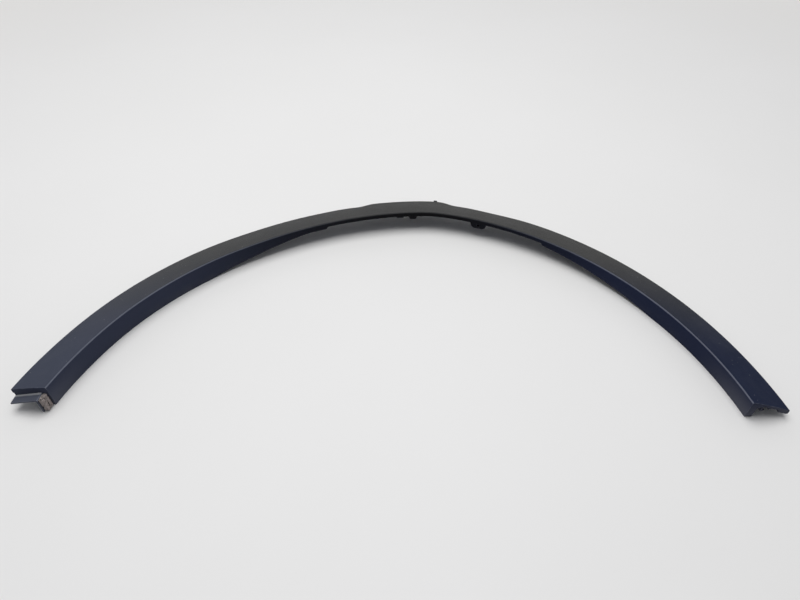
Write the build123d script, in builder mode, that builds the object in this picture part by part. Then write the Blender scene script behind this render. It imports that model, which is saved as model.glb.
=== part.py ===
"""Wheel arch trim: the black moulding that edges a car's wheel opening, lying face up.

The moulding is drawn round the wheel centre.  Angles run from the top of the arch, positive
towards the right-hand end, and radii are plan distances from the wheel centre.  At the end
everything is shifted so that the origin is the middle of the floor under the part.
"""

from math import asin, ceil, cos, degrees, exp, hypot, radians, sin, sqrt
import os

from build123d import *

# Driving dimensions, in millimetres and degrees

# Crease line, where the face turns down into the wheel opening
arch_radius = 383.0
peak_radius = 402.0
right_end_radius = 380.5
peak_angle = 8.0
peak_rise_width = 38.0
peak_fall_width = 71.5
peak_sharpness = 1.45
peak_round = 2.5
left_crease_height = 30.0
right_crease_height = 25.5
peak_bow = 3.0
bow_width = 26.0
crease_fillet = 1.6

# Sloping face and its outer rim
left_face_width = 41.0
right_face_width = 43.4
face_drop = 14.3
left_face_drop = 7.0
twist_width = 100.0
twist_sharpness = 1.6
face_crown = 0.7
crown_fillet = 300.0
face_wall = 3.0
rim_depth = 6.0
rim_wall = 2.4
rim_fillet = 1.0
lobe_reach = 3.8
lobe_start = -5.2
lobe_end = 9.8
lobe_ramp = 2.6
waist = 2.4
waist_angle = 17.0
waist_width = 6.0
nib_angle = 7.8
nib_width = 5.0
nib_reach = 2.0
nib_rise = 0.4
nib_height = 2.6

# Return flange into the wheel opening
flange_wall = 2.8
shallow_depth = 7.2
step_depth = 10.3
left_full_angle = -39.5
left_ramp_angle = -18.5
left_step_angle = -14.0
right_step_angle = 30.5
right_full_angle = 55.5
step_run = 0.3
relief_clearance = 6.0

# Small tabs and the screw lug on the shallow flange
low_tab_angle = 1.2
low_tab_width = 10.0
low_tab_reach = 1.6
hook_tab_angle = 3.8
hook_tab_width = 12.5
hook_tab_tip = 8.0
hook_tab_reach = 5.0
hook_tab_fillet = 1.0
lug_angle = 17.2
lug_width = 23.0
lug_tip = 18.5
lug_reach = 8.2
lug_fillet = 6.5
screw_hole = 4.2
screw_depth = 11.0
screw_drop = 10.5
screw_margin = 0.5
boss_diameter = 9.0
boss_length = 10.0
tab_root = 2.0

# Ends: the left one is joggled into a tongue, the right one has corner returns
left_cut = 95.6
left_skew = 4.8
right_cut = 70.8
tongue_step = 6.8
tongue_slope = 3.0
tongue_setback = 8.0
tongue_wall = 1.8
tongue_length = 11.0
tongue_inset = 0.2
tongue_lift = 1.0
end_wall = 3.0
end_embed = 1.4
flange_return = 7.0
return_gusset = 6.0
rim_return = 11.2
rim_return_depth = 6.5
corner_round = 2.0

# Clip towers behind the face, all with their seats in one plane
left_clip_angles = (-70.0, -52.0, -34.0)
centre_clip_angle = 3.0
right_clip_angles = (40.0, 58.0)
empty_tower_angle = 78.5
clip_offset = 20.0
centre_clip_offset = 32.0
seat_height = 9.5
tower_wall = 1.6
tower_plate = 1.8
web_embed = 1.0
clip_clearance = 0.3
clip_play = 0.15

# Push clips
clip_head = 10.4
clip_head_height = 1.4
clip_neck = 5.0
clip_washer_diameter = 12.0
clip_washer_height = 1.2
clip_blade_thickness = 4.0
clip_core = 4.4
clip_barb = 8.4
clip_tip = 3.0
clip_barbs = 3
barb_share = 0.45

# Gussets between flange and face
gusset_angles = (-73.5, -61.0, -43.0, 49.0, 67.0)
gusset_reach = 9.0
gusset_wall = 1.5

# Foam pad on the tongue
foam_thickness = 5.5
foam_length = 10.0
foam_lift = 1.0
foam_fillet = 1.5

# Sampling of the arch
first_angle = -80.5
last_angle = 84.0
leg_step = 12.0
shoulder_step = 6.0
lobe_step = 1.75
lobe_margin = 3.0
relief_step = 6.0
tangent_step = 0.5


def smooth(t):
    """Ease from 0 to 1 as t goes from 0 to 1."""
    t = min(max(t, 0.0), 1.0)
    return t * t * (3 - 2 * t)


def span(begin, end, step):
    """Evenly spaced values after begin up to end, no further apart than step."""
    count = max(ceil(abs(end - begin) / step), 1)
    return [begin + (end - begin) * k / count for k in range(1, count + 1)]


def end_angle(radius, cut):
    """Angle from the top at which a radius reaches a cut line across the end of the arch."""
    return 90 - degrees(asin(cut / radius))


left_end_angle = -end_angle(arch_radius, left_cut)
right_end_angle = end_angle(right_end_radius, right_cut)


def share_along(angle):
    """Share of the way from the left end to the right end."""
    return (angle - left_end_angle) / (right_end_angle - left_end_angle)


def crease_radius(angle):
    """Plan radius of the crease: a round left leg that rises to a soft peak and falls away."""
    away = abs(angle - peak_angle)
    if angle < peak_angle:
        width, base = peak_rise_width, arch_radius
    else:
        width, base = peak_fall_width, right_end_radius
    share = (hypot(away, peak_round) - peak_round) / (hypot(width, peak_round) - peak_round)
    return base + (peak_radius - base) * max(1 - share, 0.0) ** peak_sharpness


def crease_height(angle):
    """Height of the crease over the floor, bowed up a little at the peak."""
    bow = peak_bow * exp(-(((angle - peak_angle) / bow_width) ** 2))
    return left_crease_height + (right_crease_height - left_crease_height) * share_along(angle) + bow


def drop_at(angle):
    """Fall of the face from crease to outer edge; the face is flatter at the left end."""
    along = (angle - left_end_angle) / twist_width
    return face_drop - (face_drop - left_face_drop) * max(1 - along, 0.0) ** twist_sharpness


def lobe_at(angle):
    """Share of the lobe on the outer edge at an angle."""
    rise = smooth((angle - lobe_start) / lobe_ramp + 0.5)
    fall = smooth((lobe_end - angle) / lobe_ramp + 0.5)
    return rise * fall


def width_at(angle):
    """Plan width of the face: it grows to the right, with a lobe at the top and a waist beside it."""
    plain = left_face_width + (right_face_width - left_face_width) * share_along(angle)
    narrow = waist * exp(-(((angle - waist_angle) / waist_width) ** 2))
    return plain + lobe_reach * lobe_at(angle) - narrow * (1 - lobe_at(angle))


def face_height(angle, offset):
    """Height of the top of the face at a plan distance out from the crease."""
    return crease_height(angle) - drop_at(angle) * offset / width_at(angle)


def upright_wall(angle):
    """Face wall measured straight down through the slope."""
    return face_wall * hypot(1, drop_at(angle) / width_at(angle))


def under_height(angle, offset):
    """Height of the underside of the face at a plan distance out from the crease."""
    return face_height(angle, offset) - upright_wall(angle)


def station(angle):
    """Upright plane through the wheel centre: local x is radius, local y is height."""
    outward = (sin(radians(angle)), cos(radians(angle)), 0)
    along = (cos(radians(angle)), -sin(radians(angle)), 0)
    return Plane(origin=(0, 0, 0), x_dir=outward, z_dir=along)


def plan_point(angle, radius, height=0.0):
    """Point at an angle and radius about the wheel centre."""
    return Vector(radius * sin(radians(angle)), radius * cos(radians(angle)), height)


def flange_plane(angle):
    """Upright plane on the visible side of the flange; its normal looks into the wheel opening."""
    ahead = plan_point(angle + tangent_step, crease_radius(angle + tangent_step))
    behind = plan_point(angle - tangent_step, crease_radius(angle - tangent_step))
    along = (ahead - behind).normalized()
    return Plane(
        origin=plan_point(angle, crease_radius(angle)), x_dir=along, z_dir=along.cross(Vector(0, 0, 1))
    )


def arch_stations():
    """Angles at which the section is drawn: close together over the lobe, wide on the legs."""
    dense_from, dense_to = lobe_start - lobe_margin, lobe_end + lobe_margin
    spans = (
        (first_angle, left_full_angle, leg_step),
        (left_full_angle, dense_from, shoulder_step),
        (dense_from, dense_to, lobe_step),
        (dense_to, right_step_angle, shoulder_step),
        (right_step_angle, last_angle, leg_step),
    )
    angles = [first_angle]
    for begin, end, step in spans:
        angles += span(begin, end, step)
    return angles


def arch_section(angle):
    """Closed section of the moulding as (radius, height) points with a fillet for each corner."""
    inner, outer = crease_radius(angle), crease_radius(angle) + width_at(angle)
    middle, edge = width_at(angle) / 2, face_height(angle, width_at(angle))
    pocket = width_at(angle) - rim_wall
    corners = (
        ((inner, 0), 0),
        ((inner + flange_wall, 0), 0),
        ((inner + flange_wall, under_height(angle, flange_wall)), 0),
        ((outer - rim_wall, under_height(angle, pocket)), 0),
        ((outer - rim_wall, edge - rim_depth), 0),
        ((outer, edge - rim_depth), 0),
        ((outer, edge), rim_fillet),
        ((inner + middle, face_height(angle, middle) + face_crown), crown_fillet),
        ((inner, crease_height(angle)), crease_fillet),
    )
    return [point for point, radius in corners], [radius for point, radius in corners]


def flange_edge(angle, depth):
    """Height of the flange's lower edge at a depth below the crease."""
    return crease_height(angle) - depth


def ramp(begin, end, begin_height, end_height):
    """Stations of the relief between two angles, with its top rising or falling evenly."""
    return [
        (angle, begin_height + (end_height - begin_height) * (angle - begin) / (end - begin))
        for angle in span(begin, end, relief_step)
    ]


def relief_stations():
    """Angle and edge height of the cut that makes the flange shallow over the top of the arch."""
    left_inner, left_outer = left_step_angle + step_run / 2, left_step_angle - step_run / 2
    right_inner, right_outer = right_step_angle - step_run / 2, right_step_angle + step_run / 2
    shelf = flange_edge(left_ramp_angle, step_depth)
    stations = [(left_full_angle, 0.0)]
    stations += ramp(left_full_angle, left_ramp_angle, 0.0, shelf)
    stations += ramp(left_ramp_angle, left_outer, shelf, flange_edge(left_outer, step_depth))
    for angle in [left_inner, *span(left_inner, right_inner, relief_step)]:
        stations.append((angle, flange_edge(angle, shallow_depth)))
    shelf = flange_edge(right_outer, step_depth)
    stations.append((right_outer, shelf))
    stations += ramp(right_outer, right_full_angle, shelf, 0.0)
    return stations


left_corner = Vector(-sqrt(crease_radius(left_end_angle) ** 2 - left_cut**2), left_cut)
left_plane = Plane(
    origin=left_corner,
    x_dir=(-cos(radians(left_skew)), sin(radians(left_skew)), 0),
    z_dir=(sin(radians(left_skew)), cos(radians(left_skew)), 0),
)
right_corner = Vector(sqrt(crease_radius(right_end_angle) ** 2 - right_cut**2), right_cut)
right_plane = Plane(origin=right_corner, x_dir=(1, 0, 0), z_dir=(0, -1, 0))


# Flange relief: the wedge of space under the shallow flange
with BuildPart() as flange_relief:
    for angle, height in relief_stations():
        with BuildSketch(station(angle)):
            with Locations((crease_radius(angle) - relief_clearance, -relief_clearance)):
                Rectangle(
                    flange_wall + 2 * relief_clearance,
                    height + relief_clearance,
                    align=(Align.MIN, Align.MIN),
                )
    loft(ruled=True)


def clip_radius(angle):
    """Plan radius of a clip; the one at the top stands further out, under the lobe."""
    offset = centre_clip_offset if angle == centre_clip_angle else clip_offset
    return crease_radius(angle) + offset


def make_tower(angle):
    """Clip tower: three walls and a slotted seat plate, open towards the right-hand end."""
    middle, inner = clip_radius(angle), crease_radius(angle)
    pocket = clip_head / 2 + clip_clearance
    half = pocket + tower_wall
    slot = clip_neck / 2 + clip_clearance
    near, far = middle - half, middle + half
    with BuildPart() as tower:
        with BuildSketch(station(angle)):
            Polygon(
                (near, seat_height),
                (far, seat_height),
                (far, under_height(angle, far - inner) + web_embed),
                (near, under_height(angle, near - inner) + web_embed),
                align=None,
            )
        extrude(amount=half, both=True)
        with BuildSketch(Plane.XY.offset(seat_height + tower_plate)):
            with Locations(Location(plan_point(angle, middle), -angle)):
                Rectangle(half + pocket, 2 * pocket, align=(Align.MIN, Align.CENTER))
                Rectangle(2 * pocket, 2 * pocket)
        extrude(amount=left_crease_height, mode=Mode.SUBTRACT)
        with BuildSketch(Plane.XY.offset(seat_height)):
            with Locations(Location(plan_point(angle, middle), -angle)):
                Rectangle(half + slot, 2 * slot, align=(Align.MIN, Align.CENTER))
                Rectangle(2 * slot, 2 * slot)
        extrude(amount=tower_plate, mode=Mode.SUBTRACT)
    return tower.part


def make_flange_tab(angle, root_width, tip_width, reach, corner):
    """Tab that hangs from the edge of the shallow flange, as thick as the flange."""
    edge = flange_edge(angle, shallow_depth)
    half_root, half_tip = root_width / 2, tip_width / 2
    outline = (
        (-half_root, edge + tab_root),
        (-half_root, edge),
        (-half_tip, edge - reach),
        (half_tip, edge - reach),
        (half_root, edge),
        (half_root, edge + tab_root),
    )
    with BuildPart() as tab:
        with BuildSketch(flange_plane(angle)):
            with BuildLine():
                FilletPolyline(*outline, radius=(0, 0, corner, corner, 0, 0), close=True)
            make_face()
        extrude(amount=-flange_wall)
    return tab.part


def make_gusset(angle):
    """Thin triangular web in the corner between the flange and the underside of the face."""
    inner = crease_radius(angle) + flange_wall
    top = under_height(angle, flange_wall)
    with BuildPart() as gusset:
        with BuildSketch(station(angle)):
            Polygon(
                (inner - web_embed, top - gusset_reach),
                (inner, top - gusset_reach),
                (inner + gusset_reach, under_height(angle, flange_wall + gusset_reach)),
                (inner + gusset_reach, under_height(angle, flange_wall + gusset_reach) + web_embed),
                (inner - web_embed, top + web_embed),
                align=None,
            )
        extrude(amount=gusset_wall / 2, both=True)
    return gusset.part


def make_nib(angle):
    """Small nib that stands out from the rim and a little over the outer edge of the face."""
    outer = crease_radius(angle) + width_at(angle)
    top = face_height(angle, width_at(angle)) + nib_rise
    with BuildPart() as nib:
        with BuildSketch(station(angle)):
            with Locations((outer - web_embed, top)):
                Rectangle(web_embed + nib_reach, nib_height, align=(Align.MIN, Align.MAX))
        extrude(amount=nib_width / 2, both=True)
    return nib.part


def left_face(offset):
    """Height of the top of the face along the left-hand cut line."""
    return face_height(left_end_angle, offset)


def tongue_top(offset):
    """Height of the top of the tongue, which falls away from the face towards the outer edge."""
    return left_face(offset) - tongue_step - tongue_slope * offset / left_face_width


def right_face(offset):
    """Height of the top of the face along the right-hand cut line."""
    return face_height(right_end_angle, offset)


# Joggle at the left end: an end wall drops from the face and carries a tongue a step lower
with BuildPart() as joggle:
    tongue_out = left_face_width - tongue_inset
    deep = tongue_setback + tongue_wall
    tongue_outline = (
        (tongue_setback, tongue_lift),
        (deep, tongue_lift),
        (deep, tongue_top(deep) - tongue_wall),
        (tongue_out, tongue_top(tongue_out) - tongue_wall),
        (tongue_out, tongue_top(tongue_out)),
        (tongue_setback, tongue_top(tongue_setback)),
    )
    with BuildSketch(left_plane):
        with BuildLine():
            FilletPolyline(*tongue_outline, radius=(0, 0, 0, 0, 0, crease_fillet), close=True)
        make_face()
    extrude(amount=-tongue_length)
    wall_out = left_face_width
    with BuildSketch(left_plane):
        Polygon(
            (end_embed, 0),
            (deep, 0),
            (deep, tongue_top(deep) - tongue_wall),
            (wall_out, tongue_top(wall_out) - tongue_wall),
            (wall_out, left_face(wall_out) - end_embed),
            (end_embed, left_face(end_embed) - end_embed),
            align=None,
        )
    extrude(amount=end_wall)

# Corner returns at the right end: beside the flange and under the outer edge
with BuildPart() as end_returns:
    gusset_out = flange_return + return_gusset
    rim_from = right_face_width - rim_return
    rim_to = right_face_width - end_embed
    with BuildSketch(right_plane):
        with BuildLine():
            FilletPolyline(
                (end_embed, 0),
                (flange_return, 0),
                (flange_return, right_face(flange_return) - face_wall - return_gusset),
                (gusset_out, right_face(gusset_out) - face_wall),
                (gusset_out, right_face(gusset_out) - end_embed),
                (end_embed, right_face(end_embed) - end_embed),
                radius=(0, end_embed, end_embed, 0, 0, 0),
                close=True,
            )
        make_face()
        Polygon(
            (rim_from, right_face(rim_from) - rim_return_depth),
            (rim_to, right_face(right_face_width) - rim_depth),
            (rim_to, right_face(rim_to) - end_embed),
            (rim_from, right_face(rim_from) - end_embed),
            align=None,
        )
    extrude(amount=-end_wall)

# Square cuts across both legs
with BuildPart() as end_cuts:
    cut_size = 2 * right_face_width + arch_radius
    with BuildSketch(Plane.XY.offset(-relief_clearance)):
        with Locations(Location(left_corner, -left_skew), Location(right_corner)):
            Rectangle(cut_size, cut_size, align=(Align.CENTER, Align.MAX))
    extrude(amount=2 * left_crease_height)

# Rounding of the flange's lower corner at the right end
with BuildPart() as corner_cut:
    with BuildSketch(Plane(origin=right_corner, x_dir=(0, 1, 0), z_dir=(1, 0, 0))):
        Rectangle(2 * corner_round, 2 * corner_round)
        with Locations((corner_round, corner_round)):
            Circle(corner_round, mode=Mode.SUBTRACT)
    extrude(amount=gusset_out, both=True)

# Screw boss behind the lug, and its blind hole for a self-tapping screw
screw_height = flange_edge(lug_angle, screw_drop)
with BuildPart() as screw_boss:
    with BuildSketch(flange_plane(lug_angle).offset(-web_embed)):
        with Locations((0, screw_height)):
            Circle(boss_diameter / 2)
    extrude(amount=web_embed - flange_wall - boss_length)
with BuildPart() as screw_way:
    with BuildSketch(flange_plane(lug_angle).offset(screw_margin)):
        with Locations((0, screw_height)):
            Circle(screw_hole / 2)
    extrude(amount=-screw_margin - screw_depth)

# Arch trim: the one-piece moulding, with its fittings behind the face and on the flange's edge
clip_angles = (*left_clip_angles, centre_clip_angle, *right_clip_angles)
fittings = [joggle.part, end_returns.part, screw_boss.part]
fittings += [make_tower(angle) for angle in (*clip_angles, empty_tower_angle)]
fittings += [make_gusset(angle) for angle in gusset_angles]
fittings += [
    make_flange_tab(low_tab_angle, low_tab_width, low_tab_width, low_tab_reach, 0),
    make_flange_tab(hook_tab_angle, hook_tab_width, hook_tab_tip, hook_tab_reach, hook_tab_fillet),
    make_flange_tab(lug_angle, lug_width, lug_tip, lug_reach, lug_fillet),
    make_nib(nib_angle),
]
with BuildPart() as arch_trim:
    for angle in arch_stations():
        points, fillets = arch_section(angle)
        with BuildSketch(station(angle)):
            with BuildLine():
                FilletPolyline(*points, radius=fillets, close=True)
            make_face()
    loft()
    add([flange_relief.part, end_cuts.part], mode=Mode.SUBTRACT)
    add(fittings)
    add([screw_way.part, corner_cut.part], mode=Mode.SUBTRACT)
arch_trim.part.label = "arch_trim"

# Foam pad stuck on the tongue, beside the end of the flange
with BuildPart() as end_foam_pad:
    with BuildSketch(left_plane):
        foam_top = tongue_top(tongue_setback)
        with Locations((tongue_setback, tongue_lift + foam_lift)):
            Rectangle(
                foam_thickness, foam_top - tongue_lift - foam_lift - crease_fillet, align=(Align.MAX, Align.MIN)
            )
    extrude(amount=-foam_length)
    fillet(end_foam_pad.edges().filter_by(Axis.Z), foam_fillet)
end_foam_pad.part.label = "end_foam_pad"


def blade_outline():
    """Half outline of the barbed blade, from the washer down to the tip: (half width, height)."""
    washer_under = seat_height - clip_washer_height
    pitch = washer_under / clip_barbs
    outline = []
    for k in range(clip_barbs):
        top = washer_under - k * pitch
        outline += [(clip_core / 2, top), (clip_barb / 2, top - barb_share * pitch)]
    return [*outline, (clip_tip / 2, 0)]


def make_clip(angle, label):
    """Push clip: head held in the tower, neck in its slot, washer on the seat and a barbed blade."""
    middle = plan_point(angle, clip_radius(angle))
    upright = Plane(origin=middle, x_dir=station(angle).x_dir, z_dir=station(angle).z_dir)
    head_under = seat_height + tower_plate + clip_play
    right_side = blade_outline()
    left_side = [(-across, height) for across, height in reversed(right_side)]
    with BuildPart() as clip:
        with BuildSketch(Plane(origin=middle + Vector(0, 0, head_under), x_dir=upright.x_dir)):
            Rectangle(clip_head, clip_head)
        extrude(amount=clip_head_height)
        with BuildSketch(Plane(origin=middle + Vector(0, 0, seat_height), x_dir=upright.x_dir)):
            Rectangle(clip_neck, clip_neck)
        extrude(until=Until.NEXT)
        with BuildSketch(Plane(origin=middle + Vector(0, 0, seat_height), x_dir=upright.x_dir)):
            Circle(clip_washer_diameter / 2)
        extrude(amount=-clip_washer_height)
        with BuildSketch(upright):
            Polygon(*right_side, *left_side, align=None)
        extrude(amount=clip_blade_thickness / 2, both=True)
    clip.part.label = label
    return clip.part


pieces = [arch_trim.part, end_foam_pad.part]
pieces += [make_clip(angle, f"push_clip_{k}") for k, angle in enumerate(clip_angles, start=1)]

# The origin is the middle of the floor under the whole part
box = Compound(children=[Part(piece.wrapped) for piece in pieces]).bounding_box()
home = Location((-box.center().X, -box.center().Y, -box.min.Z))
os.makedirs("parts", exist_ok=True)
for piece in pieces:
    placed = piece.moved(home)
    placed.label = piece.label
    export_step(placed, f"parts/{piece.label}.step")
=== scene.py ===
# %% [markdown]
# # A wheel arch trim, lying on a pale floor
#
# The trim is the black moulding that edges a car's wheel opening. Its solid shape comes from the CAD
# model, so this script adds what the CAD model can't hold: the finish of worn black plastic, a foam pad
# with real pores, and the moulded push clips behind the face.
#
# The CAD model is loaded first. Every later piece is placed by its boxes, in metres.

# %% Load the CAD frame
from math import cos, radians, sin

import bmesh
import bpy
from mathutils import Euler, Matrix, Vector


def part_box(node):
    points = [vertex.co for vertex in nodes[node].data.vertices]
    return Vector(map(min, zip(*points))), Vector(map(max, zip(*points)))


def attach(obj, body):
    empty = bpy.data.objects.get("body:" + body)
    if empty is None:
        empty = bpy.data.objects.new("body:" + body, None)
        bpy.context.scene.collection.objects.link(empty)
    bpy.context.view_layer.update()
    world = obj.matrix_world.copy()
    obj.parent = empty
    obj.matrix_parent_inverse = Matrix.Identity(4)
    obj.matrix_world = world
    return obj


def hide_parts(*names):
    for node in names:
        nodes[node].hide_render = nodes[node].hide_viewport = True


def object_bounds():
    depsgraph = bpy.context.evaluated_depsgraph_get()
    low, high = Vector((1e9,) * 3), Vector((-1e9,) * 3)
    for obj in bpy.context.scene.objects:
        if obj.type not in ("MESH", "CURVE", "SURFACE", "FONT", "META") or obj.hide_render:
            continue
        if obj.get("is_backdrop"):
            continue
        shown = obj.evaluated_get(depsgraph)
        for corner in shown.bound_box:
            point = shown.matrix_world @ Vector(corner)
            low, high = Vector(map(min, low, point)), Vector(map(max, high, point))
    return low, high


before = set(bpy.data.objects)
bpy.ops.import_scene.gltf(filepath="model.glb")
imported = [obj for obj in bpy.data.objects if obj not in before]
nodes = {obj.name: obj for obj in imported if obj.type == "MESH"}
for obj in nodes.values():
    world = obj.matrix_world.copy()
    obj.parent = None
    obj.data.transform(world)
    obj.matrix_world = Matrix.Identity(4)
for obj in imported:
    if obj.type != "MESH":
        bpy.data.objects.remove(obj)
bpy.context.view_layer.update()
print("CAD nodes:", ", ".join(sorted(nodes)))

# %% [markdown]
# ## Where the wheel would be
#
# The arch is drawn round the wheel's centre, and the clips point to it. In the CAD frame the origin is the
# middle of the floor under the part, so the wheel's centre lies outside the arch's open side. The camera is
# placed from it too, because that is how the part was measured.

# %% Wheel centre
MM = 0.001
wheel_centre = Vector((-2.58, -258.53, 0.0)) * MM
print("Wheel centre in mm:", [round(1000 * place, 2) for place in wheel_centre])

# %% [markdown]
# ## Node trees, one line for a node
#
# Materials and Geometry Nodes are trees of nodes. In the editor each node is made, set and wired by hand.
# In a script, that is easier to read when one call does all three. The first helper makes a node, sets its
# properties, and fills each named input with a value or with a link from another node. The next two are
# the nodes used most: a sum, and a ramp that rises from 0 to 1 while a value goes from a start to an end.

# %% Node helpers
def wire(tree, kind, inputs=(), **settings):
    """Add a node, set its properties, then fill its inputs with values or links."""
    node = tree.nodes.new(kind)
    for name, value in settings.items():
        setattr(node, name, value)
    for key, value in dict(inputs).items():
        if isinstance(value, bpy.types.NodeSocket):
            tree.links.new(value, node.inputs[key])
        else:
            node.inputs[key].default_value = value
    return node


def reckon(tree, operation, *values):
    """Work out one sum, such as MULTIPLY, on values or links."""
    return wire(tree, "ShaderNodeMath", dict(enumerate(values)), operation=operation).outputs[0]


def ramp(tree, value, start, end, kind="LINEAR"):
    """Rise from 0 to 1 while a value goes from start to end."""
    inputs = {"Value": value, "From Min": start, "From Max": end}
    return wire(tree, "ShaderNodeMapRange", inputs, interpolation_type=kind).outputs[0]


print("Helpers:", wire.__name__, reckon.__name__, ramp.__name__)

# %% [markdown]
# ## Moulded grain
#
# A moulding tool is etched, so the plastic comes out with a fine pebbled skin that breaks up reflections.
# It could be modelled, but the pebbles are half a millimetre across, so a bump is enough. The trim and the
# clips both have it, so it is a shader group: a small tree with named inputs that each material uses with
# its own values. It puts out a height for the bump, and a slow stain that makes the colour less even.

# %% Start a shader group
def new_group(name, inputs, outputs):
    """Start a shader group with number inputs, and return its tree, entry and exit."""
    tree = bpy.data.node_groups.new(name, "ShaderNodeTree")
    for label, value in inputs.items():
        socket = tree.interface.new_socket(label, in_out="INPUT", socket_type="NodeSocketFloat")
        socket.default_value = value
    for label in outputs:
        tree.interface.new_socket(label, in_out="OUTPUT", socket_type="NodeSocketFloat")
    return tree, wire(tree, "NodeGroupInput").outputs, wire(tree, "NodeGroupOutput").inputs


grain, entry, leave = new_group("moulded grain", {"Pebbles": 1900.0, "Stain": 9.0}, ["Height", "Stain"])
print("Group:", grain.name)

# %% Pebbles and stain
fibre_scale, fibre_share, stain_band = 420.0, 0.6, (0.34, 0.68)
place = wire(grain, "ShaderNodeTexCoord").outputs["Object"]
pebbles = wire(
    grain, "ShaderNodeTexVoronoi", {"Vector": place, "Scale": entry["Pebbles"]}, feature="SMOOTH_F1"
)
fibres = wire(grain, "ShaderNodeTexNoise", {"Vector": place, "Scale": fibre_scale, "Detail": 3.0})
height = reckon(grain, "MULTIPLY_ADD", fibres.outputs[0], fibre_share, pebbles.outputs["Distance"])
grain.links.new(height, leave["Height"])
stain = wire(
    grain, "ShaderNodeTexNoise",
    {"Vector": place, "Scale": entry["Stain"], "Detail": 6.0, "Roughness": 0.62},
)
grain.links.new(ramp(grain, stain.outputs[0], *stain_band), leave["Stain"])
print("Nodes in the grain:", len(grain.nodes))

# %% [markdown]
# ## Settled dust
#
# A part taken off a car is dusty. Dust lies on what faces up, gathers near the floor, and shows as a thin
# patchy film with a few larger pale specks. It could be particles, but they are too small to see one by
# one. The film follows the surface normal, the height and noise, and the specks are the middles of a few
# cells chosen by their random colour. The group also says what faces up and what faces down, because the
# weather reaches only the one.

# %% What faces up and what faces down
up_band, down_band = (0.25, 0.9), (-0.05, -0.4)
dust, entry, leave = new_group(
    "settled dust",
    {"Foot Height": 0.012, "Specks": 170.0, "Speck Share": 0.06},
    ["Facing", "Under", "Film", "Specks"],
)
coordinates = wire(dust, "ShaderNodeTexCoord").outputs
place = coordinates["Object"]
lean = wire(dust, "ShaderNodeSeparateXYZ", {0: coordinates["Normal"]}).outputs["Z"]
facing = ramp(dust, lean, *up_band)
dust.links.new(facing, leave["Facing"])
dust.links.new(ramp(dust, lean, *down_band), leave["Under"])
print("Group:", dust.name)

# %% Film and specks
foot_share, patch_band, speck_core = 2.0, (0.4, 0.72), (0.17, 0.1)
level = wire(dust, "ShaderNodeSeparateXYZ", {0: place}).outputs["Z"]
foot = ramp(dust, level, entry["Foot Height"], 0.0)
patches = wire(
    dust, "ShaderNodeTexNoise", {"Vector": place, "Scale": 34.0, "Detail": 8.0, "Roughness": 0.66}
)
patchy = ramp(dust, patches.outputs[0], *patch_band)
lying = reckon(dust, "MULTIPLY_ADD", foot, foot_share, facing)
dust.links.new(reckon(dust, "MULTIPLY", lying, patchy), leave["Film"])

cells = wire(dust, "ShaderNodeTexVoronoi", {"Vector": place, "Scale": entry["Specks"]}, feature="F1")
chance = wire(dust, "ShaderNodeSeparateColor", {0: cells.outputs["Color"]}).outputs[0]
rare = reckon(dust, "LESS_THAN", chance, entry["Speck Share"])
middle = ramp(dust, cells.outputs["Distance"], *speck_core)
speck = reckon(dust, "MULTIPLY", reckon(dust, "MULTIPLY", rare, middle), facing)
dust.links.new(speck, leave["Specks"])
print("Nodes in the dust:", len(dust.nodes))

# %% [markdown]
# ## Edge masks
#
# Edges lose their grain first, and turn smooth and pale. A painter would draw them by hand. Here the Bevel
# node rounds the normal near an edge, so the difference between that normal and the true one marks the
# edges, whatever the mesh is like. On the trim that pale edge colour is also a painted highlight. The second
# output, Ridge, marks the rounded crease between the face and the flange: it is the one place that leans
# neither flat nor upright. The trim paints a highlight along it.

# %% Edge group
bend_band, scuff_band = (0.995, 0.86), (0.36, 0.62)
off_flat, off_upright = (0.93, 0.84), (0.1, 0.35)
edges, entry, leave = new_group("edge masks", {"Width": 0.0015}, ["Mask", "Ridge"])
rounded = wire(edges, "ShaderNodeBevel", {"Radius": entry["Width"]}, samples=6).outputs[0]
true_normal = wire(edges, "ShaderNodeNewGeometry").outputs["True Normal"]
likeness = wire(edges, "ShaderNodeVectorMath", {0: rounded, 1: true_normal}, operation="DOT_PRODUCT")
bent = ramp(edges, likeness.outputs["Value"], *bend_band)
coordinates = wire(edges, "ShaderNodeTexCoord").outputs
scuffs = wire(
    edges, "ShaderNodeTexNoise", {"Vector": coordinates["Object"], "Scale": 260.0, "Detail": 5.0}
)
scuffed = ramp(edges, scuffs.outputs[0], *scuff_band)
edges.links.new(reckon(edges, "MULTIPLY", bent, scuffed), leave["Mask"])

lean = wire(edges, "ShaderNodeSeparateXYZ", {0: coordinates["Normal"]}).outputs["Z"]
ridge = reckon(edges, "MULTIPLY", ramp(edges, lean, *off_flat), ramp(edges, lean, *off_upright))
edges.links.new(ridge, leave["Ridge"])
print("Group:", edges.name, "with", len(edges.nodes), "nodes")

# %% [markdown]
# ## Black trim plastic
#
# The trim is plastic that is black right through, with a satin skin. One flat black would look like a
# drawing. The top of the arch is a plain grey, partly sun fading and partly a painted reflection of bright
# surroundings. The low ends are a blue-black that is a painted reflection of a cool, dim room. The flange
# is a blue painted reflection low down and a near-black painted shade at the top, and the wheel splashed
# the low ends of the flange, most of all at its foot. A Mix node blends two colours by a share, and the
# shares here are ramps over the place on the part. The underside saw no weather and stays plain.

# %% Start the trim plastic
def new_material(name):
    """Start a material and return it with its tree and its main shader."""
    material = bpy.data.materials.new(name)
    material.use_nodes = True
    tree = material.node_tree
    return material, tree, tree.nodes["Principled BSDF"]


def use_group(tree, group, **values):
    """Place a shader group in a material with its own values, and return its outputs."""
    node = wire(tree, "ShaderNodeGroup", node_tree=group)
    for label, value in values.items():
        node.inputs[label.replace("_", " ")].default_value = value
    return node.outputs


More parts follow.
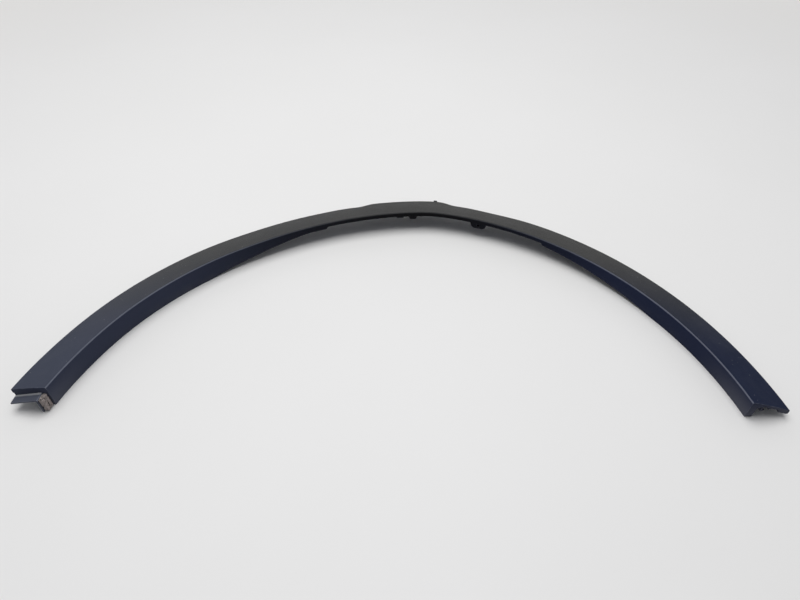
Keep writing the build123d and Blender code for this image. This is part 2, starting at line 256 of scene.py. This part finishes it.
trim_plastic, tree, shader = new_material("trim_plastic")
skin = use_group(tree, grain, Pebbles=1900.0, Stain=7.0)
settled = use_group(tree, dust, Foot_Height=14 * MM, Specks=320.0, Speck_Share=0.07)
edge_masks = use_group(tree, edges, Width=1.4 * MM)
place = wire(tree, "ShaderNodeTexCoord").outputs["Object"]
spot = wire(tree, "ShaderNodeSeparateXYZ", {0: place}).outputs
print("Started:", trim_plastic.name)

# %% Blend two colours
def blend_colour(tree, share, first, second):
    """Mix two colours, or links to colours, by a share."""
    node = wire(tree, "ShaderNodeMix", {"Factor": share}, data_type="RGBA")
    for socket, colour in ((node.inputs[6], first), (node.inputs[7], second)):
        if isinstance(colour, bpy.types.NodeSocket):
            tree.links.new(colour, socket)
        else:
            socket.default_value = (*colour, 1.0)
    return node.outputs[2]


print("Helper:", blend_colour.__name__)

# %% Black by its place on the arch
# Painted light: the blue-black of the low ends is a painted reflection of a cool, dim room, and the grey at
# the top is partly sun fading and partly a painted reflection of bright surroundings.
cool_reflection_blacks = (0.0035, 0.0078, 0.0235), (0.0065, 0.0108, 0.0315)
bleached_reflection_greys = (0.0195, 0.02, 0.0205), (0.028, 0.0285, 0.0285)
# Painted light: the flange is a blue painted reflection low down and a near-black painted shade under the
# overhang at the top; the shaded ramp carries that shade.
low_flange_reflection, top_flange_shade = (0.0105, 0.0158, 0.0415), (0.0015, 0.0015, 0.002)
splashed_flange, splash_least = (0.078, 0.081, 0.103), 0.06
top_ramp_band, shade_band = (-0.15, 0.085), (0.0, 0.15)
splash_band, splash_heights = (-0.1, -0.188), (28 * MM, 1 * MM)
toward_arch_top = ramp(tree, spot["Y"], *top_ramp_band, "SMOOTHSTEP")
shaded = ramp(tree, spot["Y"], *shade_band, "SMOOTHSTEP")
splash_reach = ramp(tree, spot["Y"], *splash_band, "SMOOTHSTEP")
splash_here = reckon(tree, "MULTIPLY_ADD", splash_reach, 1.0 - splash_least, splash_least)
splashed = reckon(tree, "MULTIPLY", ramp(tree, spot["Z"], *splash_heights), splash_here)
low_end_reflection = blend_colour(tree, skin["Stain"], *cool_reflection_blacks)
top_bleach_and_reflection = blend_colour(tree, skin["Stain"], *bleached_reflection_greys)
face_black = blend_colour(tree, toward_arch_top, low_end_reflection, top_bleach_and_reflection)
flange_black = blend_colour(tree, shaded, low_flange_reflection, top_flange_shade)
flange_black = blend_colour(tree, splashed, flange_black, splashed_flange)
black = blend_colour(tree, settled["Facing"], flange_black, face_black)
print("Face: fresh at y", top_ramp_band[0], "m, bleached at y", top_ramp_band[1], "m")

# %% [markdown]
# ### Haze, dust and the plain underside
# ### Painted reflection on one leg, dust and the plain underside
# The leg with the foam pad is lighter and bluer, a painted reflection of the brighter surroundings on that
# side. It is weaker on its upright sides and fades towards the top. The dust film lies over everything that
# faces up, more towards the top of the arch than on the low ends. Both could be painted by hand, but blends
# over the same ramps stay in step with the colours below them. The underside then goes back to one plain
# black.

# %% Painted reflection, dust and underside
# Painted light: this grey-blue blend is a painted reflection, lighter on the leg with the foam pad.
left_reflection_share, left_reflection_fades, upright_left_reflection = 0.19, 0.78, 0.58
left_reflection_band, left_reflection_colour = (0.08, -0.36), (0.2, 0.215, 0.26)
film_shares, film_colour = (0.012, 0.095), (0.235, 0.23, 0.222)
under_black = (0.0095, 0.0115, 0.0165)
leftward = ramp(tree, spot["X"], *left_reflection_band, "SMOOTHSTEP")
clear = reckon(tree, "MULTIPLY_ADD", settled["Facing"], reckon(tree, "SUBTRACT", toward_arch_top, shaded), shaded)
low_left_reflection = reckon(tree, "MULTIPLY", leftward, reckon(tree, "MULTIPLY_ADD", clear, -left_reflection_fades, 1.0))
lying_left_reflection = reckon(tree, "MULTIPLY_ADD", settled["Facing"], 1.0 - upright_left_reflection, upright_left_reflection)
left_reflection = reckon(tree, "MULTIPLY", reckon(tree, "MULTIPLY", low_left_reflection, lying_left_reflection), left_reflection_share)
with_left_reflection = blend_colour(tree, left_reflection, black, left_reflection_colour)
film_share = reckon(tree, "MULTIPLY_ADD", toward_arch_top, film_shares[1], film_shares[0])
filmed = blend_colour(tree, reckon(tree, "MULTIPLY", settled["Film"], film_share), with_left_reflection, film_colour)
outside = blend_colour(tree, settled["Under"], filmed, under_black)
weather_side = reckon(tree, "SUBTRACT", 1.0, settled["Under"])
print("Haze on the leg with the foam pad:", left_reflection_share)

# %% [markdown]
# ### Dust in the joggle's corner
#
# At the end with the foam pad the face steps down to a tongue, a step that makers call a joggle. Dust packs
# into such an inside corner and can't be wiped out, so a pale line runs along its root. It is a narrow ramp
# over the distance from that line, on the tongue's side only.

# %% Joggle line
joggle_root = Vector((-373.46, -162.93, 0.0)) * MM
joggle_skew = radians(4.8)
joggle_out = Vector((-sin(joggle_skew), -cos(joggle_skew), 0.0))
line_start, line_solid, line_wide = 0.1 * MM, 1.2 * MM, 3.4 * MM
line_share, tongue_share, line_colour = 0.85, 0.05, (0.42, 0.43, 0.44)
from_root = wire(tree, "ShaderNodeVectorMath", {0: place, 1: joggle_root}, operation="SUBTRACT").outputs[0]
along = wire(tree, "ShaderNodeVectorMath", {0: from_root, 1: joggle_out}, operation="DOT_PRODUCT")
past = along.outputs["Value"]
tongue_side = reckon(tree, "MULTIPLY", reckon(tree, "GREATER_THAN", past, line_start), weather_side)
line = reckon(tree, "MULTIPLY_ADD", ramp(tree, past, line_wide, line_solid), line_share, tongue_share)
line = reckon(tree, "MULTIPLY", line, tongue_side)
lined = blend_colour(tree, line, outside, line_colour)
print("Joggle line:", round(1000 * (line_wide - line_start), 1), "mm wide")

# %% [markdown]
# ### Crease highlight, pale edges and specks
#
# On both legs the crease carries a painted highlight: a pale blue line where its rounding would catch the
# light, left off at the top of the arch. Hands, brushes and road grit rub what stands out, so every edge has
# lost some of its black, and the pale edge colour also stands as a painted highlight. The edge group already
# knows where both are, so each is one more blend over the layers so far. A few pale specks of dust go on
# last, over everything.

# %% Crease, edges and specks
# Painted light: the pale blue crease line is a painted highlight, left off at the top of the arch.
crease_highlight_share, crease_highlight_colour = 0.7, (0.15, 0.162, 0.205)
# Painted light: the pale blue edge colour is partly wear and partly a painted highlight.
edge_wear_highlight_share, edge_wear_highlight_colour = 0.4, (0.15, 0.16, 0.19)
speck_share, speck_colour = 0.35, (0.36, 0.355, 0.34)
legs_only = reckon(tree, "MULTIPLY_ADD", shaded, -crease_highlight_share, crease_highlight_share)
crease_highlighted = blend_colour(tree, reckon(tree, "MULTIPLY", edge_masks["Ridge"], legs_only), lined, crease_highlight_colour)
edge = reckon(tree, "MULTIPLY", reckon(tree, "MULTIPLY", edge_masks["Mask"], edge_wear_highlight_share), weather_side)
edges_worn_and_lit = blend_colour(tree, edge, crease_highlighted, edge_wear_highlight_colour)
speckled = blend_colour(tree, reckon(tree, "MULTIPLY", settled["Specks"], speck_share), edges_worn_and_lit, speck_colour)
tree.links.new(speckled, shader.inputs["Base Color"])
print("Layers of colour:", sum(node.bl_idname == "ShaderNodeMix" for node in tree.nodes))

# %% [markdown]
# ### Gloss and grain
#
# The face has a satin sheen at the top of the arch. It is duller at the low ends and under dust, and so is
# the flange, while the crease is smoother. One roughness would make all of it look freshly painted, so the
# roughness is reckoned from the same masks as the colours. Weathered plastic also reflects less than new
# plastic, so its Specular level is low. The grain is a bump, less than 0.2 mm high.

# %% Gloss and grain of the trim
upright_rough, face_gloss, film_dulls, ridge_gloss = 0.74, -0.32, 0.25, -0.3
low_end_gloss = 0.28
gloss_here = reckon(tree, "MULTIPLY_ADD", toward_arch_top, 1.0 - low_end_gloss, low_end_gloss)
gloss_share = reckon(tree, "MULTIPLY", settled["Facing"], gloss_here)
satin = reckon(tree, "MULTIPLY_ADD", gloss_share, face_gloss, upright_rough)
dulled = reckon(tree, "MULTIPLY_ADD", settled["Film"], film_dulls, satin)
shiny = reckon(tree, "MULTIPLY_ADD", edge_masks["Ridge"], ridge_gloss, dulled)
tree.links.new(ramp(tree, shiny, 0.0, 1.0), shader.inputs["Roughness"])
shader.inputs["Specular IOR Level"].default_value = 0.1
bump = wire(tree, "ShaderNodeBump", {"Strength": 0.7, "Distance": 0.18 * MM, "Height": skin["Height"]})
tree.links.new(bump.outputs[0], shader.inputs["Normal"])
nodes["arch_trim"].data.materials.clear()
nodes["arch_trim"].data.materials.append(trim_plastic)
print("Finished:", trim_plastic.name, "with", len(tree.nodes), "nodes")

# %% [markdown]
# ## One push clip
#
# Six push clips hold the trim to the wing. A clip has a square head that slides into a tower, a neck, a
# washer that seals on the panel, and a barbed blade that snaps into a hole. All six are alike, so only one
# is modelled. It is simple enough to build from boxes, a cone and an outline, and a Bevel modifier then
# softens every edge as a mould does.

# %% Sizes of the clip
clip_head, clip_head_height, clip_neck = 10.4 * MM, 1.4 * MM, 5.0 * MM
washer_radius, washer_height, washer_taper = 6.0 * MM, 1.2 * MM, 0.86
blade_thickness, blade_core, blade_barb, blade_tip = 4.0 * MM, 4.4 * MM, 8.4 * MM, 3.0 * MM
seat_height, head_under = 9.5 * MM, 11.45 * MM
barbs, barb_share = 3, 0.45
print("Clip height in mm:", round(1000 * (head_under + clip_head_height), 2))

# %% Blocks and plates
def add_block(mesh, low, high):
    """Add a box between two corners."""
    centre, size = (Vector(low) + Vector(high)) / 2, Vector(high) - Vector(low)
    bmesh.ops.create_cube(mesh, size=1.0, matrix=Matrix.Translation(centre) @ Matrix.Diagonal((*size, 1.0)))


def add_plate(mesh, outline, thickness):
    """Add an upright plate: an outline in x and z, given a thickness along y."""
    near, far = (
        [mesh.verts.new((across, offset, height)) for across, height in outline]
        for offset in (-thickness / 2, thickness / 2)
    )
    mesh.faces.new(near)
    mesh.faces.new(list(reversed(far)))
    for k in range(len(outline)):
        following = (k + 1) % len(outline)
        mesh.faces.new((near[following], near[k], far[k], far[following]))


def barbed_outline():
    """Outline of the blade, from the washer down one side and up the other."""
    top = seat_height - washer_height
    pitch = top / barbs
    side = []
    for k in range(barbs):
        side += [(blade_core / 2, top - k * pitch), (blade_barb / 2, top - (k + barb_share) * pitch)]
    side.append((blade_tip / 2, 0.0))
    return side + [(-across, height) for across, height in reversed(side)]


print("Corners of the blade:", len(barbed_outline()))

# %% Clip mesh
clip_parts = bmesh.new()
head_top = head_under + clip_head_height
for half, low, high in ((clip_head / 2, head_under, head_top), (clip_neck / 2, seat_height, head_under)):
    add_block(clip_parts, (-half, -half, low), (half, half, high))
bmesh.ops.create_cone(
    clip_parts, cap_ends=True, segments=40, radius1=washer_radius, radius2=washer_radius * washer_taper,
    depth=washer_height, matrix=Matrix.Translation((0, 0, seat_height - washer_height / 2)),
)
add_plate(clip_parts, barbed_outline(), blade_thickness)
bmesh.ops.recalc_face_normals(clip_parts, faces=clip_parts.faces)
clip_mesh = bpy.data.meshes.new("one_clip")
clip_parts.to_mesh(clip_mesh)
clip_parts.free()
one_clip = bpy.data.objects.new("one_clip", clip_mesh)
bpy.context.collection.objects.link(one_clip)
soften = one_clip.modifiers.new("soft edges", "BEVEL")
soften.width, soften.segments, soften.limit_method = 0.2 * MM, 2, "ANGLE"
print("One clip:", len(clip_mesh.polygons), "faces before its edges are softened")

# %% [markdown]
# ## Clip nylon
#
# Clips are moulded from natural nylon: pale, slightly yellow, and a little translucent, which the shader's
# Subsurface gives. The grain, dust and edge groups are the trim's, each with values of its own, so dirt
# gathers on the low end of the blade and the edges stay bright.

# %% Clip material
nylon_shades = (0.56, 0.545, 0.49), (0.66, 0.65, 0.6)
grime_share, grime_colour = 0.5, (0.2, 0.185, 0.16)
bright_share, bright_colour = 0.4, (0.75, 0.74, 0.7)
nylon_rough, stain_rough = 0.36, 0.12
clip_plastic, tree, shader = new_material("clip_plastic")
skin = use_group(tree, grain, Pebbles=2600.0, Stain=60.0)
settled = use_group(tree, dust, Foot_Height=4 * MM, Specks=420.0, Speck_Share=0.12)
edge_masks = use_group(tree, edges, Width=0.5 * MM)
nylon = blend_colour(tree, skin["Stain"], *nylon_shades)
grime = reckon(tree, "MULTIPLY", settled["Film"], grime_share)
bright = reckon(tree, "MULTIPLY", edge_masks["Mask"], bright_share)
grimy_nylon = blend_colour(tree, grime, nylon, grime_colour)
worn_nylon = blend_colour(tree, bright, grimy_nylon, bright_colour)
tree.links.new(worn_nylon, shader.inputs["Base Color"])
rough = reckon(tree, "MULTIPLY_ADD", skin["Stain"], stain_rough, nylon_rough)
tree.links.new(rough, shader.inputs["Roughness"])
shader.inputs["Subsurface Weight"].default_value = 0.08
shader.inputs["Subsurface Radius"].default_value = (2.0 * MM, 1.8 * MM, 1.4 * MM)
bump = wire(tree, "ShaderNodeBump", {"Strength": 0.2, "Distance": 0.05 * MM, "Height": skin["Height"]})
tree.links.new(bump.outputs[0], shader.inputs["Normal"])
print("Finished:", clip_plastic.name)

# %% [markdown]
# ## Clips round the arch
#
# A clip sits in each tower but the last, and each is turned to face the wheel. They could be six copies
# placed by hand, but then a change of the clip would mean six changes. Geometry Nodes put the one clip on
# six points instead, read from the CAD model's own clips, and turn each copy by its direction from the
# wheel's centre.

# %% Spots for the clips
clip_names = sorted(name for name in nodes if name.startswith("push_clip"))
clip_spots = [sum(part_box(name), Vector()) / 2 for name in clip_names]
spots_mesh = bpy.data.meshes.new("push_clips")
spots_mesh.from_pydata([(spot.x, spot.y, 0.0) for spot in clip_spots], [], [])
push_clips = bpy.data.objects.new("push_clips", spots_mesh)
bpy.context.collection.objects.link(push_clips)
print("Clip spots:", len(clip_spots))

# %% Start and end a tree
def new_tree(name, inputs):
    """Start a Geometry Nodes tree from one geometry, and return it with its ends and input names."""
    tree = bpy.data.node_groups.new(name, "GeometryNodeTree")
    tree.is_modifier = True
    tree.interface.new_socket("Start", in_out="INPUT", socket_type="NodeSocketGeometry")
    keys = {}
    for label, kind in inputs.items():
        socket = tree.interface.new_socket(label, in_out="INPUT", socket_type="NodeSocket" + kind)
        keys[label] = socket.identifier
    tree.interface.new_socket("Result", in_out="OUTPUT", socket_type="NodeSocketGeometry")
    return tree, wire(tree, "NodeGroupInput").outputs, wire(tree, "NodeGroupOutput").inputs, keys


def end_tree(tree, geometry, finish, leave):
    """Make the geometry real, give it its material, and put it out."""
    real = wire(tree, "GeometryNodeRealizeInstances", {0: geometry})
    dressed = wire(tree, "GeometryNodeSetMaterial", {"Geometry": real.outputs[0], "Material": finish})
    tree.links.new(dressed.outputs[0], leave[0])


print("Helpers:", new_tree.__name__, end_tree.__name__)

# %% Tree that places the clips
clip_row, entry, leave, clip_keys = new_tree(
    "clips round the arch", {"Clip": "Object", "Wheel Centre": "Vector", "Finish": "Material"}
)
spot = wire(clip_row, "GeometryNodeInputPosition").outputs[0]
away = wire(clip_row, "ShaderNodeVectorMath", {0: spot, 1: entry["Wheel Centre"]}, operation="SUBTRACT")
reach = wire(clip_row, "ShaderNodeSeparateXYZ", {0: away.outputs[0]}).outputs
heading = reckon(clip_row, "ARCTAN2", reach["Y"], reach["X"])
turn = wire(clip_row, "ShaderNodeCombineXYZ", {"Z": heading}).outputs[0]
source = wire(clip_row, "GeometryNodeObjectInfo", {"Object": entry["Clip"]}).outputs["Geometry"]
copies = wire(
    clip_row, "GeometryNodeInstanceOnPoints", {"Points": entry["Start"], "Instance": source, "Rotation": turn}
)
end_tree(clip_row, copies.outputs[0], entry["Finish"], leave)
print("Tree:", clip_row.name, "with inputs", ", ".join(clip_keys))

# %% Grow a piece and settle it
def settle(piece):
    """Turn a piece's evaluated geometry into its plain mesh and drop its modifiers."""
    bpy.context.view_layer.update()
    seen = piece.evaluated_get(bpy.context.evaluated_depsgraph_get())
    finished = bpy.data.meshes.new_from_object(seen)
    piece.modifiers.clear()
    piece.data = finished


def grow(piece, tree, keys, **values):
    """Put a Geometry Nodes tree on a piece, with its inputs set by their identifiers."""
    modifier = piece.modifiers.new(tree.name, "NODES")
    modifier.node_group = tree
    for label, value in values.items():
        modifier[keys[label.replace("_", " ")]] = value


print("Helpers:", settle.__name__, grow.__name__)

# %% Place the clips
grow(push_clips, clip_row, clip_keys, Clip=one_clip, Wheel_Centre=wheel_centre, Finish=clip_plastic)
settle(push_clips)
bpy.data.objects.remove(one_clip)
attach(push_clips, "root")
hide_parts(*clip_names)
print("Clips:", len(clip_spots), "copies,", len(push_clips.data.polygons), "faces")

# %% [markdown]
# ## Foam
#
# A strip of open-cell foam is stuck to the tongue so that it doesn't rattle against the next panel. It is
# grey-brown, torn and dull. Its colour is mottled, and it goes nearly black in the pits as a painted shade.
# The pits are found by an attribute called pit, a number on each point that the pad's Geometry Nodes write
# further on.

# %% Foam material
# Painted shade: the near-black pit colour is shade painted into the pores.
foam_shades, pit_shade_colour = ((0.19, 0.162, 0.151), (0.42, 0.363, 0.346)), (0.03, 0.027, 0.025)
foam_dust_share, foam_dust_colour = 0.3, (0.46, 0.43, 0.39)
foam, tree, shader = new_material("foam")
place = wire(tree, "ShaderNodeTexCoord").outputs["Object"]
pits = wire(tree, "ShaderNodeAttribute", attribute_name="pit").outputs["Fac"]
settled = use_group(tree, dust, Foot_Height=6 * MM, Specks=700.0, Speck_Share=0.2)
mottle = wire(tree, "ShaderNodeTexNoise", {"Vector": place, "Scale": 650.0, "Detail": 4.0}).outputs[0]
body = blend_colour(tree, mottle, *foam_shades)
pits_shaded = blend_colour(tree, pits, body, pit_shade_colour)
dusted = reckon(tree, "MULTIPLY", settled["Film"], foam_dust_share)
dusty = blend_colour(tree, dusted, pits_shaded, foam_dust_colour)
tree.links.new(dusty, shader.inputs["Base Color"])
shader.inputs["Roughness"].default_value = 0.95
shader.inputs["Specular IOR Level"].default_value = 0.2
bump = wire(tree, "ShaderNodeBump", {"Strength": 0.4, "Distance": 0.2 * MM, "Height": mottle})
tree.links.new(bump.outputs[0], shader.inputs["Normal"])
print("Finished:", foam.name)

# %% [markdown]
# ## Foam pad
#
# A flat block with a foam picture would look dead at its edges, and the outline of torn foam is ragged. So
# a copy of the CAD pad is cut into fine cells by a voxel remesh, and Geometry Nodes press real pores into
# it along its normals: long tears first, from noise drawn out along the height, then small round cells.
# Pressing only inwards keeps the pad inside the space that the CAD model gives it.

# %% Fine copy of the pad
merge_gap, fine_cell = 0.01 * MM, 0.16 * MM
foam_copy = bmesh.new()
foam_copy.from_mesh(nodes["end_foam_pad"].data)
bmesh.ops.remove_doubles(foam_copy, verts=foam_copy.verts, dist=merge_gap)
foam_mesh = bpy.data.meshes.new("foam_pad")
foam_copy.to_mesh(foam_mesh)
foam_copy.free()
foam_mesh.materials.clear()
foam_pad = bpy.data.objects.new("foam_pad", foam_mesh)
bpy.context.collection.objects.link(foam_pad)
fine = foam_pad.modifiers.new("fine cells", "REMESH")
fine.mode, fine.voxel_size = "VOXEL", fine_cell
print("Pad before the pores:", len(foam_mesh.polygons), "faces")

# %% Tree that presses the pores
tear_scale, tear_draw, tear_band = 420.0, (1.0, 1.0, 0.45), (0.5, 0.62)
cell_scale, cell_band = 1150.0, (0.42, 0.1)
pores, entry, leave, pore_keys = new_tree(
    "foam pores", {"Tear Depth": "Float", "Cell Depth": "Float", "Seed": "Float", "Finish": "Material"}
)
place = wire(pores, "GeometryNodeInputPosition").outputs[0]
drawn_out = wire(pores, "ShaderNodeVectorMath", {0: place, 1: tear_draw}, operation="MULTIPLY").outputs[0]
tears = wire(
    pores, "ShaderNodeTexNoise",
    {"Vector": drawn_out, "W": entry["Seed"], "Scale": tear_scale, "Detail": 3.0}, noise_dimensions="4D",
)
tear = ramp(pores, tears.outputs[0], *tear_band)
cells = wire(pores, "ShaderNodeTexVoronoi", {"Vector": place, "Scale": cell_scale}, feature="F1")
cell = ramp(pores, cells.outputs["Distance"], *cell_band)
torn = reckon(pores, "MULTIPLY", tear, entry["Tear Depth"])
sunk = reckon(pores, "MULTIPLY_ADD", cell, entry["Cell Depth"], torn)
inward = wire(
    pores, "ShaderNodeVectorMath",
    {0: wire(pores, "GeometryNodeInputNormal").outputs[0], "Scale": reckon(pores, "MULTIPLY", sunk, -1.0)},
    operation="SCALE",
)
pressed = wire(pores, "GeometryNodeSetPosition", {"Geometry": entry["Start"], "Offset": inward.outputs[0]})
marked = wire(
    pores, "GeometryNodeStoreNamedAttribute",
    {"Geometry": pressed.outputs[0], "Name": "pit", "Value": reckon(pores, "MAXIMUM", tear, cell)},
    data_type="FLOAT", domain="POINT",
)
end_tree(pores, marked.outputs[0], entry["Finish"], leave)
print("Tree:", pores.name, "with inputs", ", ".join(pore_keys))

# %% Press the pores
grow(foam_pad, pores, pore_keys, Tear_Depth=0.8 * MM, Cell_Depth=0.3 * MM, Seed=4.0, Finish=foam)
settle(foam_pad)
foam_pad.data.polygons.foreach_set("use_smooth", [True] * len(foam_pad.data.polygons))
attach(foam_pad, "root")
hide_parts("end_foam_pad")
print("Foam pad:", len(foam_pad.data.polygons), "faces")

# %% [markdown]
# ## Floor
#
# The trim lies on a plain pale floor. A floor that ends shows a hard line against the sky in low views, and
# one that is lit only in the middle goes dark far off. So the far floor blends into the same pale colour
# that the camera sees behind it. The blend is only for what is seen directly or in a reflection: the light
# on the object doesn't change, and the floor round the object keeps its shadow.

# %% Floor
backdrop = (0.82, 0.805, 0.785)
floor_reach, near_floor, far_floor = 12.0, 0.8, 2.4


def seen_share(tree):
    """1 for what the camera sees, also in a reflection or through glass, and 0 for light on its way."""
    ray = wire(tree, "ShaderNodeLightPath").outputs
    straight = reckon(tree, "MAXIMUM", ray["Is Camera Ray"], ray["Is Glossy Ray"])
    return reckon(tree, "MAXIMUM", straight, ray["Is Transmission Ray"])


corners = [(-1, -1, 0), (1, -1, 0), (1, 1, 0), (-1, 1, 0)]
floor_mesh = bpy.data.meshes.new("floor")
floor_mesh.from_pydata([Vector(corner) * floor_reach for corner in corners], [], [(0, 1, 2, 3)])
floor = bpy.data.objects.new("floor", floor_mesh)
bpy.context.collection.objects.link(floor)
floor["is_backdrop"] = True
print("Floor:", 2 * floor_reach, "m wide")

# %% Floor material
floor_shades = (0.72, 0.715, 0.7), (0.76, 0.755, 0.745)
pale, tree, shader = new_material("pale_floor")
place = wire(tree, "ShaderNodeTexCoord").outputs["Object"]
cloud = wire(tree, "ShaderNodeTexNoise", {"Vector": place, "Scale": 2.5, "Detail": 4.0}).outputs[0]
tree.links.new(blend_colour(tree, cloud, *floor_shades), shader.inputs["Base Color"])
shader.inputs["Roughness"].default_value = 0.6
distance = wire(tree, "ShaderNodeVectorMath", {0: place}, operation="LENGTH").outputs["Value"]
far_off = ramp(tree, distance, near_floor, far_floor, "SMOOTHSTEP")
far_share = reckon(tree, "MULTIPLY", far_off, seen_share(tree))
glow = wire(tree, "ShaderNodeEmission", {"Color": (*backdrop, 1.0), "Strength": 1.0})
faded_out = wire(tree, "ShaderNodeMixShader", {0: far_share, 1: shader.outputs[0], 2: glow.outputs[0]})
tree.links.new(faded_out.outputs[0], tree.nodes["Material Output"].inputs["Surface"])
floor_mesh.materials.append(pale)
print("Floor blends into the backdrop from", near_floor, "to", far_floor, "m")

# %% [markdown]
# ## Light
#
# A dark part shows its shape best in soft light. One large lamp hangs overhead, and pale light comes from
# both sides and from behind. Less comes from the front, so the flange that faces the camera stays darker
# than the face. An environment picture could do the same, but a few ramps over the direction are easier to
# change. The lamp gives the soft shadow under the arch.

# %% Light from all round
left_light, right_light = (0.7, 0.71, 0.74), (0.62, 0.625, 0.65)
front_light, top_light = (0.16, 0.17, 0.2), (0.28, 0.285, 0.3)
side_band, depth_band, top_band = (-0.7, 0.7), (-0.5, 0.5), (0.45, 0.8)
world = bpy.data.worlds.new("studio")
world.use_nodes = True
tree = world.node_tree
direction = wire(tree, "ShaderNodeTexCoord").outputs["Generated"]
looking = wire(tree, "ShaderNodeSeparateXYZ", {0: direction}).outputs
sides = blend_colour(tree, ramp(tree, looking["X"], *side_band), left_light, right_light)
low_light = blend_colour(tree, ramp(tree, looking["Y"], *depth_band), front_light, sides)
all_light = blend_colour(tree, ramp(tree, looking["Z"], *top_band), low_light, top_light)
sky = tree.nodes["Background"]
tree.links.new(blend_colour(tree, seen_share(tree), all_light, backdrop), sky.inputs["Color"])
sky.inputs["Strength"].default_value = 1.0
bpy.context.scene.world = world
print("World:", world.name)

# %% Lamp
def add_lamp(name, place, target, size, watts):
    """Add a square soft lamp that looks at a point."""
    lamp_data = bpy.data.lights.new(name, "AREA")
    lamp_data.shape, lamp_data.size, lamp_data.energy = "SQUARE", size, watts
    lamp = bpy.data.objects.new(name, lamp_data)
    lamp.location = place
    lamp.rotation_euler = (Vector(target) - Vector(place)).to_track_quat("-Z", "Y").to_euler()
    bpy.context.collection.objects.link(lamp)
    return lamp


lamp_place, lamp_target = (-0.15, 0.38, 2.2), (0, 0, 0)
top_lamp = add_lamp("top_lamp", lamp_place, lamp_target, size=1.9, watts=45.5)
print("Lamp:", top_lamp.name, top_lamp.data.energy, "W")

# %% [markdown]
# ## Camera
#
# The camera stands in front of the opening and looks down at about 45 degrees with a wide lens. It could be
# moved by eye until the picture fits, but it was worked out instead: the arch's two ends, its top and its
# width in the picture give the lens, the height and the tilt.

# %% Camera
image_width, focal_pixels = 800, 610
camera_offset, camera_tilt = Vector((7.0, -302.6, 550.0)) * MM, (45.325, 0.383, -0.379)
camera_data = bpy.data.cameras.new("camera")
camera_data.sensor_width = 36.0
camera_data.lens = camera_data.sensor_width * focal_pixels / image_width
camera_data.clip_end = 100.0
camera = bpy.data.objects.new("camera", camera_data)
camera.location = wheel_centre + camera_offset
camera.rotation_euler = Euler([radians(angle) for angle in camera_tilt])
bpy.context.collection.objects.link(camera)
bpy.context.scene.camera = camera
bpy.context.scene.view_settings.view_transform = "Standard"
print("Camera:", [round(place, 3) for place in camera.location], "lens", round(camera_data.lens, 2), "mm")

# %% [markdown]
# ## Sizes
#
# The looks must not change the size of the object, so the box of the dressed object is printed.

# %% Sizes
low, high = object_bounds()
print("Dressed size in mm:", [round(1000 * side, 1) for side in high - low])
